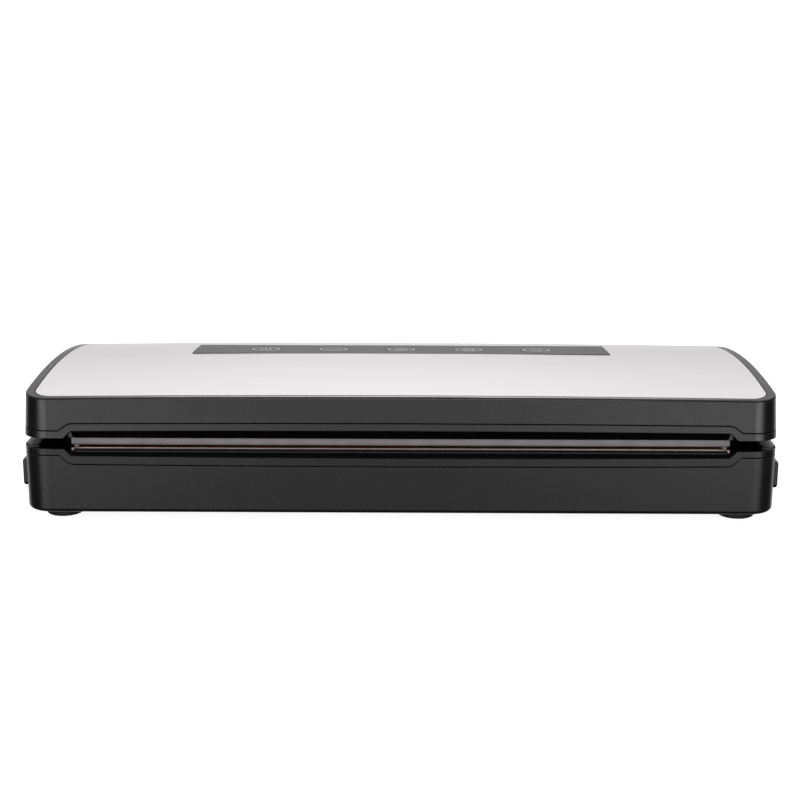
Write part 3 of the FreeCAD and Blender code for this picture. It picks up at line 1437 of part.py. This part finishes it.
def make_panel():
    body = new_body("control_panel")
    sheet = new_sketch(body, "panel_sheet", "XY_Plane", z="-dim.panel_thick")
    rectangle(sheet, "dim.panel_length - 2 * dim.panel_gap", "dim.panel_width - 2 * dim.panel_gap", "1.3")
    pad(body, sheet, "dim.panel_thick")
    holes = new_sketch(body, "panel_holes", "XY_Plane", z="1")
    for place_index in range(-2, 3):
        circle(holes, "dim.button_radius + dim.button_gap", f"{place_index} * dim.button_pitch")
    pocket(body, holes, "5")
    keep(body, "control_panel", PANEL_REST)
    for place_index in range(-2, 3):
        make_panel_button(place_index)
    board = new_body("control_board")
    edge = new_sketch(board, "control_board_outline", "XY_Plane", z="dim.key_board_low")
    rectangle(edge, "dim.panel_length - 30", "dim.key_board_wide", "2")
    pad(board, edge, "dim.key_board_thick")
    keep(board, "control_board", PANEL_REST)
    switches = []
    for place_index in range(-2, 3):
        x = f"{place_index} * dim.button_pitch"
        case = doc.addObject("Part::Box", f"tact_case{place_index + 2}")
        case.setExpression("Length", "dim.tact_size")
        case.setExpression("Width", "dim.tact_size")
        case.setExpression("Height", "dim.tact_tall")
        low = "dim.key_board_low + dim.key_board_thick"
        place(case, f"{x} - dim.tact_size / 2", "-dim.tact_size / 2", low)
        plunger = doc.addObject("Part::Cylinder", f"tact_plunger{place_index + 2}")
        plunger.setExpression("Radius", "dim.tact_plunger")
        plunger.Height = 1.0
        place(plunger, x, "0", f"{low} + dim.tact_tall - 0.1")
        switches.append(join(f"tact{place_index + 2}", case, plunger))
    keep(group("tact_switches", switches), "tact_switches", PANEL_REST)


def make_panel_button(place_index):
    body = new_body(f"panel_button_{place_index + 3}")
    x = f"{place_index} * dim.button_pitch"
    layers = (
        ("cap", "dim.button_radius", "-dim.panel_thick - 0.2", "0"),
        ("flange", "dim.button_radius + 1.2", "-dim.panel_thick - 1.1", "-dim.panel_thick - 0.1"),
        ("stem", "2", "-4.1", "-dim.panel_thick - 1"),
    )
    for name, radius, low, high in layers:
        sketch = new_sketch(body, f"button{place_index + 3}_{name}", "XY_Plane", x=x, z=low)
        circle(sketch, radius)
        pad(body, sketch, f"({high}) - ({low})")
    keep(body, f"panel_button_{place_index + 3}", PANEL_REST)


make_base_shell()
make_base_deck()
make_sealing_parts()
make_feet()
make_hinge_pins()
make_nozzle("suction_nozzle", "dim.suction_x")
make_nozzle("vent_nozzle", "dim.vent_x")
make_hoses()
make_pump()
make_release_valve()
make_board()
make_inlet()
make_lid_switches()
for side, sign in HINGES.items():
    make_release(side, sign)
    make_release_spring(side, sign)
make_lid_cover()
make_steel_plate()
make_lid_inner_plate()
make_lid_seal_parts()
make_catches()
make_panel()
make_screws()
doc.recompute()

failed = [item.Name for item in doc.Objects if "Invalid" in item.State or "Error" in item.State]
if failed:
    raise RuntimeError("features that did not build: " + ", ".join(failed))
for item in subparts:
    if item.Shape.isNull() or not item.Shape.isValid():
        raise RuntimeError("sub-part with a bad shape: " + item.Label)
for item in subparts:
    item.Shape.exportStep(f"parts/{item.Label}.step")
print(len(subparts), "sub-parts written")
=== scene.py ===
"""Looks of the countertop vacuum packing machine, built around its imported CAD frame."""
import json
import math

import bmesh
import bpy
from mathutils import Matrix, Vector


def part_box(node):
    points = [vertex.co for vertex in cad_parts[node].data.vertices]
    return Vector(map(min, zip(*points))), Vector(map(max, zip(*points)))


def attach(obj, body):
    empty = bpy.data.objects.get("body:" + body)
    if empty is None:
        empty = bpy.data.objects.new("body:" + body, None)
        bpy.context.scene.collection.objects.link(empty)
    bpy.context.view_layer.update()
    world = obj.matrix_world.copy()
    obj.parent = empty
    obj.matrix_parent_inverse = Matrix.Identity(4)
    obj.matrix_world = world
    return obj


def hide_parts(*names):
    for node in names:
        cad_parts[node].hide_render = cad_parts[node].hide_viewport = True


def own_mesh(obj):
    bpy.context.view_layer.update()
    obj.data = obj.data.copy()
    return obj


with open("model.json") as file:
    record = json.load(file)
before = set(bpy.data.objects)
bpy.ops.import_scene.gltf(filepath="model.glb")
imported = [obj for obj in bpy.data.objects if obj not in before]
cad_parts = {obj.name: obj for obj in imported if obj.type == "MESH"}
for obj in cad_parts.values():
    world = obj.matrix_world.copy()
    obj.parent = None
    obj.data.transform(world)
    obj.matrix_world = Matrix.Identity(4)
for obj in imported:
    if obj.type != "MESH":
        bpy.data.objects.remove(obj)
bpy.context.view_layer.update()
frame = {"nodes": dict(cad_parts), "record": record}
nodes = frame["nodes"]
MM = 0.001
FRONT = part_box("base_deck")[0][1]
EDGE_RADIUS = 0.35 * MM
PLASTIC_GRAIN = 2600.0
GLOSS_PATCHES = 90.0
LIP_HALF_LENGTH = 166 * MM
SIGN_LIFT = 0.02
SIGN_THICKNESS = 0.05 * MM
KEY_COUNT = 5


# ---- node helpers ----


class Shader:
    """A material with one Principled shader and short calls for the nodes that feed it."""

    def __init__(self, name, colour, roughness, metallic=0.0, specular=0.5):
        self.material = bpy.data.materials.new(name)
        self.material.use_nodes = True
        self.tree = self.material.node_tree
        self.surface = self.tree.nodes["Principled BSDF"]
        self.set("Base Color", (*colour, 1.0))
        self.set("Roughness", roughness)
        self.set("Metallic", metallic)
        self.set("Specular IOR Level", specular)
        self.material.diffuse_color = (*colour, 1.0)
        self.place = self.add("TexCoord").outputs["Object"]

    def add(self, kind, **settings):
        """Node with its properties and input values set by name."""
        node = self.tree.nodes.new("ShaderNode" + kind)
        for key, value in settings.items():
            if hasattr(node, key):
                setattr(node, key, value)
            else:
                node.inputs[key].default_value = value
        return node

    def link(self, output, node, socket):
        self.tree.links.new(output, node.inputs[socket])

    def set(self, socket, value):
        self.surface.inputs[socket].default_value = value

    def stretched(self, scale):
        """Object coordinates scaled differently along each axis."""
        mapping = self.add("Mapping", Scale=scale)
        self.link(self.place, mapping, "Vector")
        return mapping.outputs["Vector"]

    def noise(self, scale, detail=3.0, roughness=0.5, vector=None):
        node = self.add("TexNoise", Scale=scale, Detail=detail, Roughness=roughness)
        self.link(vector or self.place, node, "Vector")
        return node.outputs["Fac"]

    def ramp(self, fac, low, high, start=0.0, end=1.0):
        """Blend two colours by a factor."""
        node = self.add("ValToRGB")
        node.color_ramp.elements[0].position = start
        node.color_ramp.elements[0].color = (*low, 1.0)
        node.color_ramp.elements[1].position = end
        node.color_ramp.elements[1].color = (*high, 1.0)
        self.link(fac, node, "Fac")
        return node.outputs["Color"]

    def spread(self, fac, low, high):
        """Number between two values by a factor."""
        node = self.add("MapRange")
        node.inputs["To Min"].default_value = low
        node.inputs["To Max"].default_value = high
        self.link(fac, node, "Value")
        return node.outputs["Result"]

    def vary(self, socket, fac, low, high):
        """Drive a number socket of the surface between two values."""
        self.link(self.spread(fac, low, high), self.surface, socket)

    def bump(self, height, strength, distance, edge=0.0):
        """Relief from a height, over edges softened by a radius if one is given."""
        node = self.add("Bump", Strength=strength, Distance=distance)
        self.link(height, node, "Height")
        if edge:
            soft = self.add("Bevel", samples=4, Radius=edge)
            self.link(soft.outputs["Normal"], node, "Normal")
        self.link(node.outputs["Normal"], self.surface, "Normal")

    def maths(self, operation, first, second):
        node = self.add("Math", operation=operation)
        for place, value in enumerate((first, second)):
            if isinstance(value, bpy.types.NodeSocket):
                self.tree.links.new(value, node.inputs[place])
            else:
                node.inputs[place].default_value = value
        return node.outputs["Value"]

    def inside(self, half_length, depths, heights):
        """One inside a box and nought outside: millimetres either way, back from the front, and up."""
        split = self.add("SeparateXYZ")
        self.link(self.place, split, "Vector")
        x, y, z = split.outputs
        within = self.maths("LESS_THAN", self.maths("ABSOLUTE", x, 0.0), half_length * MM)
        for value, base, (low, high) in ((y, FRONT, depths), (z, 0.0, heights)):
            within = self.maths("MULTIPLY", within, self.maths("GREATER_THAN", value, base + low * MM))
            within = self.maths("MULTIPLY", within, self.maths("LESS_THAN", value, base + high * MM))
        return within

    def mottle(self, colour, amount, scale):
        """Slight, slow variation of the base colour."""
        low = [c * (1 - amount) for c in colour]
        high = [min(1.0, c * (1 + amount)) for c in colour]
        shade = self.ramp(self.noise(scale), low, high, 0.3, 0.7)
        self.link(shade, self.surface, "Base Color")


def moulded(name, colour, roughness, grain=PLASTIC_GRAIN, depth=0.00002, mottle=0.06, specular=0.5):
    """Moulded plastic: fine eroded grain, slight patchiness of gloss and colour."""
    shader = Shader(name, colour, roughness, specular=specular)
    shader.mottle(colour, mottle, 60.0)
    patches = shader.noise(GLOSS_PATCHES, 4.0)
    shader.vary("Roughness", patches, roughness - 0.04, roughness + 0.05)
    shader.bump(shader.noise(grain, 2.0), 0.35, depth, edge=EDGE_RADIUS)
    return shader.material


def trim(name, colour, roughness):
    """Moulded plastic, satin outside; inside the mouth, apart from two ridges, painted shade makes it
    darker and flatter.
    """
    shader = Shader(name, colour, roughness)
    shader.bump(shader.noise(PLASTIC_GRAIN, 2.0), 0.15, 0.00002, edge=EDGE_RADIUS)
    # Painted shade: inside the mouth, less the two ridges, the colour is darkened to a quarter and the
    # reflection weakened and roughened.
    mouth = shader.inside(172.3, (1.15, 200.0), (31.4, 47.0))
    ridge = shader.inside(156.6, (5.2, 7.0), (33.02, 35.0))
    holder = shader.inside(159.0, (6.9, 7.4), (38.0, 47.0))
    flat = shader.maths("SUBTRACT", mouth, shader.maths("ADD", ridge, holder))
    shader.vary("Specular IOR Level", flat, 0.5, 0.05)
    shade = shader.ramp(flat, colour, [c * 0.25 for c in colour])
    shader.link(shade, shader.surface, "Base Color")
    patches = shader.spread(shader.noise(GLOSS_PATCHES, 4.0), roughness - 0.02, roughness + 0.025)
    gloss = shader.maths("ADD", patches, shader.maths("MULTIPLY", flat, 0.35))
    shader.link(gloss, shader.surface, "Roughness")
    return shader.material


def rubber(name, colour, roughness=0.7, grain=1500.0):
    shader = Shader(name, colour, roughness, specular=0.35)
    shader.mottle(colour, 0.10, 120.0)
    shader.bump(shader.noise(grain, 3.0), 0.4, 0.00003)
    return shader.material


def foam(name, colour):
    """Closed-cell foam: small rounded cells."""
    shader = Shader(name, colour, 0.9, specular=0.2)
    cells = shader.add("TexVoronoi", Scale=1400.0)
    shader.link(shader.place, cells, "Vector")
    shader.mottle(colour, 0.15, 200.0)
    shader.bump(cells.outputs["Distance"], 0.7, 0.0002)
    return shader.material


def brushed(name, colour, roughness, along=(6.0, 900.0, 900.0), depth=0.000004):
    """Metal brushed along X: long fine scratches in gloss, colour and relief."""
    shader = Shader(name, colour, roughness, metallic=1.0)
    hairs = shader.noise(1.0, 6.0, 0.6, shader.stretched(along))
    low = [c * 0.93 for c in colour]
    shade = shader.ramp(hairs, low, colour, 0.25, 0.75)
    shader.link(shade, shader.surface, "Base Color")
    shader.vary("Roughness", hairs, roughness - 0.06, roughness + 0.10)
    shader.bump(hairs, 0.25, depth)
    return shader.material


def cast_metal(name, colour, roughness=0.35):
    shader = Shader(name, colour, roughness, metallic=1.0)
    shader.mottle(colour, 0.06, 150.0)
    shader.vary("Roughness", shader.noise(400.0), roughness - 0.06, roughness + 0.1)
    return shader.material


def woven_tape(name, colour):
    """Glass cloth coated with resin: fine ribs under a brown gloss."""
    shader = Shader(name, colour, 0.38)
    shader.mottle(colour, 0.25, 90.0)
    weave = shader.add("TexWave", Scale=900.0, Distortion=0.4)
    shader.link(shader.place, weave, "Vector")
    shader.bump(weave.outputs["Fac"], 0.15, 0.00002)
    return shader.material


def circuit(name, colour):
    """Circuit board: green mask with lighter tracks."""
    shader = Shader(name, colour, 0.4)
    tracks = shader.add(
        "TexBrick",
        Scale=160.0,
        Color1=(*colour, 1.0),
        Color2=(*(c * 1.15 for c in colour), 1.0),
        Mortar=(*(min(1.0, c * 2.0) for c in colour), 1.0),
    )
    tracks.inputs["Mortar Size"].default_value = 0.015
    shader.link(shader.place, tracks, "Vector")
    shader.link(tracks.outputs["Color"], shader.surface, "Base Color")
    return shader.material


PANEL_FINISH = {"grain": 900.0, "mottle": 0.03, "specular": 0.3}
BLACK_PLASTIC = (0.0105, 0.0100, 0.0105)
MATERIALS = {
    "shell_plastic": moulded("shell_plastic", BLACK_PLASTIC, 0.27),
    "trim_plastic": trim("trim_plastic", BLACK_PLASTIC, 0.27),
    "brushed_steel": brushed("brushed_steel", (0.87, 0.845, 0.85), 0.34),
    "panel_plastic": moulded("panel_plastic", (0.040, 0.039, 0.040), 0.36, **PANEL_FINISH),
    "button_plastic": moulded("button_plastic", (0.043, 0.042, 0.043), 0.34, **PANEL_FINISH),
    "silicone_strip": rubber("silicone_strip", (0.30, 0.275, 0.29), 0.45),
    "foam": foam("foam", (0.03, 0.03, 0.031)),
    "tape": woven_tape("tape", (0.20, 0.085, 0.035)),
    "element_metal": brushed("element_metal", (0.62, 0.50, 0.42), 0.35),
    "bar_metal": brushed("bar_metal", (0.92, 0.78, 0.74), 0.30, (1.5, 300.0, 300.0), 0.000001),
    "foot_rubber": rubber("foot_rubber", (0.012, 0.012, 0.012), 0.6),
    "motor_metal": cast_metal("motor_metal", (0.62, 0.62, 0.63), 0.3),
    "zinc_steel": cast_metal("zinc_steel", (0.55, 0.55, 0.56), 0.3),
    "pump_plastic": moulded("pump_plastic", (0.62, 0.61, 0.57), 0.45),
    "soft_rubber": rubber("soft_rubber", (0.02, 0.02, 0.02)),
    "hose_silicone": rubber("hose_silicone", (0.70, 0.70, 0.67), 0.35),
    "circuit_board": circuit("circuit_board", (0.01, 0.09, 0.03)),
    "component_black": moulded("component_black", (0.012, 0.012, 0.012), 0.4),
    "winding": cast_metal("winding", (0.55, 0.32, 0.06), 0.4),
    "contact_metal": cast_metal("contact_metal", (0.72, 0.58, 0.32), 0.25),
}


def dress_nodes():
    """Give every CAD node its slot's material."""
    slot_of = {part["node"]: part["material_slot"] for part in frame["record"]["subparts"]}
    for name, node in nodes.items():
        node.data.materials.clear()
        node.data.materials.append(MATERIALS[slot_of[name]])


# ---- details ----


def detail(name, mesh, material, body, thickness=0.0):
    """Visual piece that rides on a body, given a thickness if it is a flat sheet."""
    item = bpy.data.objects.new(name, mesh)
    bpy.context.scene.collection.objects.link(item)
    mesh.materials.append(material)
    if thickness:
        solid = item.modifiers.new("thickness", "SOLIDIFY")
        solid.thickness = thickness
        solid.offset = 1.0
    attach(item, body)
    return item


def face_frame(node):
    """Place of the middle of a node's outermost upward faces, with X across and Z out of the face."""
    turned = node.matrix_world
    faces = [
        (turned @ face.center, (turned.to_3x3() @ face.normal).normalized(), face.area)
        for face in node.data.polygons
    ]
    upward = [face for face in faces if face[1].z > 0.9]
    normal = sum((facing * area for _, facing, area in upward), Vector()).normalized()
    top = max(centre.dot(normal) for centre, _, _ in upward)
    outer = [face for face in upward if top - face[0].dot(normal) < 0.3 * MM]
    total = sum(area for _, _, area in outer)
    middle = sum((centre * area for centre, _, area in outer), Vector()) / total
    along = Vector((1.0, 0.0, 0.0))
    away = normal.cross(along).normalized()
    frame_axes = Matrix((along, away, normal)).transposed().to_4x4()
    return Matrix.Translation(middle) @ frame_axes


class Ink:
    """Flat marks drawn in millimetres on a face, gathered in one mesh."""

    def __init__(self):
        self.points = []
        self.faces = []

    def strip(self, outer, inner, closed=False):
        """Ribbon between two rows of points."""
        first = len(self.points)
        count = len(outer)
        self.points += outer + inner
        for index in range(count if closed else count - 1):
            following = (index + 1) % count
            self.faces.append(
                (first + index, first + following, first + count + following, first + count + index)
            )

    def arc(self, x, y, radius, width, start=0.0, end=360.0, steps=48):
        """Arc line of a width, or a whole ring."""
        closed = end - start >= 360.0
        number = steps if closed else steps + 1
        turns = [math.radians(start + (end - start) * index / steps) for index in range(number)]
        rows = [
            [(x + reach * math.cos(turn), y + reach * math.sin(turn)) for turn in turns]
            for reach in (radius + width / 2, radius - width / 2)
        ]
        self.strip(*rows, closed=closed)

    def line(self, x1, y1, x2, y2, width):
        length = math.hypot(x2 - x1, y2 - y1)
        aside = ((y1 - y2) / length * width / 2, (x2 - x1) / length * width / 2)
        ends = ((x1, y1), (x2, y2))
        near, far = [
            [(x + side * aside[0], y + side * aside[1]) for x, y in ends] for side in (1, -1)
        ]
        self.strip(near, far)

    def mesh(self, name, place, lift):
        """Mesh of the marks, laid on a face at a small lift."""
        mesh = bpy.data.meshes.new(name)
        spots = [place @ Vector((x * MM, y * MM, lift * MM)) for x, y in self.points]
        mesh.from_pydata(spots, [], self.faces)
        sheet = bmesh.new()
        sheet.from_mesh(mesh)
        bmesh.ops.recalc_face_normals(sheet, faces=sheet.faces)
        if sum(face.normal.z * face.calc_area() for face in sheet.faces) < 0:
            bmesh.ops.reverse_faces(sheet, faces=sheet.faces)
        sheet.to_mesh(mesh)
        sheet.free()
        return mesh


def key_sign(number):
    """Ring of a key with a plain pictogram in it: bars, bowl, layers, bag or drop."""
    ink = Ink()
    ink.arc(0, 0, 7.0, 0.75)
    if number == 1:
        for x in (-2.2, 0.0, 2.2):
            ink.line(x, -2.6, x, 2.6, 0.7)
    elif number == 2:
        ink.arc(0, 1.6, 3.6, 0.7, 180.0, 360.0, 24)
    elif number == 3:
        for y in (-2.6, 0.0, 2.6):
            ink.line(-3.2, y, 3.2, y, 0.8)
    elif number == 4:
        ink.line(-3.0, 2.6, 3.0, 2.6, 0.7)
        ink.line(-3.0, 0.9, 3.0, 0.9, 0.7)
        ink.line(-2.6, 2.6, -2.6, -3.0, 0.6)
        ink.line(2.6, 2.6, 2.6, -3.0, 0.6)
        ink.line(-2.9, -3.0, 2.9, -3.0, 0.7)
    else:
        ink.arc(0, -0.8, 2.5, 0.7, 150.0, 390.0, 24)
        ink.line(-2.15, 0.4, 0.0, 3.8, 0.7)
        ink.line(2.15, 0.4, 0.0, 3.8, 0.7)
    return ink


def key_signs():
    material = moulded("key_print", (0.62, 0.61, 0.615), 0.5, grain=1200.0)
    for number in range(1, KEY_COUNT + 1):
        place = face_frame(nodes[f"panel_button_{number}"])
        sign = key_sign(number).mesh(f"key_sign_{number}", place, SIGN_LIFT)
        detail(f"key_sign_{number}", sign, material, f"key_{number}", thickness=SIGN_THICKNESS)


def front_lip():
    """Metal edge along the front of the lid's rim, laid over the rim's own faces, coloured as a painted
    highlight that is brightest in the middle and darker towards the ends.
    """
    cover = nodes["lid_cover"]
    sheet = bmesh.new()
    sheet.from_mesh(cover.data)
    sheet.transform(cover.matrix_world)
    sheet.normal_update()
    front = min(vertex.co.y for vertex in sheet.verts)
    top = max(vertex.co.z for vertex in sheet.verts)
    unwanted = [
        face for face in sheet.faces
        if face.normal.z < 0.95 or top - face.calc_center_median().z > 12 * MM
    ]
    bmesh.ops.delete(sheet, geom=unwanted, context="FACES")
    for point, normal in (
        ((0, front + 3.25 * MM, 0), (0, 1, 0)),
        ((0, front + 0.5 * MM, 0), (0, -1, 0)),
        ((LIP_HALF_LENGTH, 0, 0), (1, 0, 0)),
        ((-LIP_HALF_LENGTH, 0, 0), (-1, 0, 0)),
    ):
        everything = sheet.verts[:] + sheet.edges[:] + sheet.faces[:]
        bmesh.ops.bisect_plane(
            sheet, geom=everything, plane_co=point, plane_no=normal, clear_outer=True
        )
    bmesh.ops.translate(sheet, verts=sheet.verts, vec=(0, 0, 0.02 * MM))
    mesh = bpy.data.meshes.new("painted_rim_highlight")
    sheet.to_mesh(mesh)
    sheet.free()
    # Painted highlight: the sheet's colour is brightest at the middle of the rim and fades darker
    # towards both ends.
    shader = Shader("rim_highlight_paint", (0.5, 0.49, 0.49), 0.3, metallic=0.8)
    split = shader.add("SeparateXYZ")
    shader.link(shader.place, split, "Vector")
    aside = shader.maths("ABSOLUTE", split.outputs["X"], 0.0)
    fade = shader.maths("MULTIPLY", aside, 1 / LIP_HALF_LENGTH)
    shade = shader.ramp(fade, (0.46, 0.45, 0.45), (0.16, 0.155, 0.155), 0.2, 1.0)
    shader.link(shade, shader.surface, "Base Color")
    detail("painted_rim_highlight", mesh, shader.material, "lid", thickness=0.03 * MM)


def springs():
    """Return springs as their own pieces, copies of the CAD springs, which are hidden."""
    for side, fixed_end in (("left", 1), ("right", 0)):
        node = nodes[f"release_spring_{side}"]
        mesh = node.data.copy()
        mesh.materials.clear()
        coil = detail(f"return_spring_{side}", mesh, node.data.materials[0], "base")
        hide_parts(node.name)
        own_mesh(coil)


# ---- studio ----


def surround():
    """Soft surround: bright overhead, dark below, a bounce card low in front, white to the camera."""
    world = bpy.data.worlds.new("surround")
    world.use_nodes = True
    tree = world.node_tree
    background = tree.nodes["Background"]
    background.inputs["Color"].default_value = (1.0, 1.0, 1.0, 1.0)

    def add(kind, *inputs, **settings):
        node = tree.nodes.new("ShaderNode" + kind)
        for key, value in settings.items():
            setattr(node, key, value)
        for place, value in enumerate(inputs):
            if isinstance(value, bpy.types.NodeSocket):
                tree.links.new(value, node.inputs[place])
            elif value is not None:
                node.inputs[place].default_value = value
        return node.outputs[0]

    def between(value, start, end, low, high):
        return add("MapRange", value, start, end, low, high, interpolation_type="SMOOTHSTEP")

    direction = tree.nodes.new("ShaderNodeTexCoord").outputs["Generated"]
    split = tree.nodes.new("ShaderNodeSeparateXYZ")
    tree.links.new(direction, split.inputs[0])
    across, away, up = split.outputs
    aside = add("Math", add("Math", across, 0.02, operation="ADD"), operation="ABSOLUTE")
    rising = between(up, -0.02, 0.50, 0.54, 1.05)
    narrowing = between(aside, 0.0, 0.28, 1.0, 0.84)
    sky = add("Math", rising, narrowing, operation="MULTIPLY")
    flank = between(aside, 0.60, 0.78, 0.0, 0.92)
    low_sky = between(up, 0.12, 0.45, 1.0, 0.0)
    shaded = add("Math", 1.0, add("Math", flank, low_sky, operation="MULTIPLY"), operation="SUBTRACT")
    sky = add("Math", sky, shaded, operation="MULTIPLY")
    facing = between(away, -0.74, -0.56, 1.0, 0.0)
    level = between(up, -0.38, -0.17, 0.0, 2.4)
    middle = between(aside, 0.0, 0.26, 0.34, 1.0)
    card = add("Math", add("Math", facing, level, operation="MULTIPLY"), middle, operation="MULTIPLY")
    below = add("Math", card, between(away, 0.3, 0.8, 0.03, 0.9), operation="ADD")
    above = add("Math", up, 0.0, operation="GREATER_THAN")
    mix = tree.nodes.new("ShaderNodeMix")
    tree.links.new(above, mix.inputs[0])
    tree.links.new(below, mix.inputs[2])
    tree.links.new(sky, mix.inputs[3])
    shown = tree.nodes.new("ShaderNodeMix")
    rays = tree.nodes.new("ShaderNodeLightPath")
    tree.links.new(rays.outputs["Is Camera Ray"], shown.inputs[0])
    tree.links.new(mix.outputs[0], shown.inputs[2])
    shown.inputs[3].default_value = 1.2
    tree.links.new(shown.outputs[0], background.inputs["Strength"])
    bpy.context.scene.world = world


def soft_light(name, where, target, width, height, power):
    light = bpy.data.lights.new(name, "AREA")
    light.shape = "RECTANGLE"
    light.size = width
    light.size_y = height
    light.energy = power
    holder = bpy.data.objects.new(name, light)
    holder.location = where
    holder.rotation_euler = (Vector(target) - Vector(where)).to_track_quat("-Z", "Y").to_euler()
    bpy.context.scene.collection.objects.link(holder)


def studio():
    """Pale floor and soft lights."""
    half = 4.0
    floor_mesh = bpy.data.meshes.new("studio_floor")
    corners = [(-half, -half, 0), (half, -half, 0), (half, half, 0), (-half, half, 0)]
    floor_mesh.from_pydata(corners, [], [(0, 1, 2, 3)])
    floor = bpy.data.objects.new("studio_floor", floor_mesh)
    bpy.context.scene.collection.objects.link(floor)
    shader = Shader("floor_paint", (0.35, 0.35, 0.35), 0.9, specular=0.1)
    shader.set("Emission Color", (1.0, 1.0, 1.0, 1.0))
    shader.set("Emission Strength", 0.93)
    floor_mesh.materials.append(shader.material)
    floor.visible_diffuse = False
    floor.visible_glossy = False
    surround()
    centre = (0.0, 0.0, 0.03)
    soft_light("top_light", (0.0, 0.15, 1.1), centre, 1.2, 0.8, 3.0)
    soft_light("left_light", (-0.75, -1.1, 0.25), centre, 0.25, 0.9, 1.2)
    soft_light("right_light", (0.75, -1.1, 0.25), centre, 0.25, 0.9, 1.8)
    bpy.context.scene.view_settings.view_transform = "Standard"


def camera():
    """Long lens in front of the machine, a little above it, turned a trifle left and rolled a trifle."""
    lens = bpy.data.cameras.new("camera")
    lens.sensor_width = 36.0
    lens.lens = 69.02
    lens.clip_start = 0.01
    holder = bpy.data.objects.new("camera", lens)
    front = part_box("base_shell")[0][1]
    place = Matrix.Translation((0.0021, front - 0.700, 0.23898))
    turn = Matrix.Rotation(math.radians(0.191), 4, "Z")
    tilt = Matrix.Rotation(math.radians(90 - 14.291), 4, "X")
    roll = Matrix.Rotation(math.radians(0.179), 4, "Z")
    holder.matrix_world = place @ turn @ tilt @ roll
    bpy.context.scene.collection.objects.link(holder)
    bpy.context.scene.camera = holder


dress_nodes()
key_signs()
front_lip()
springs()
studio()
camera()
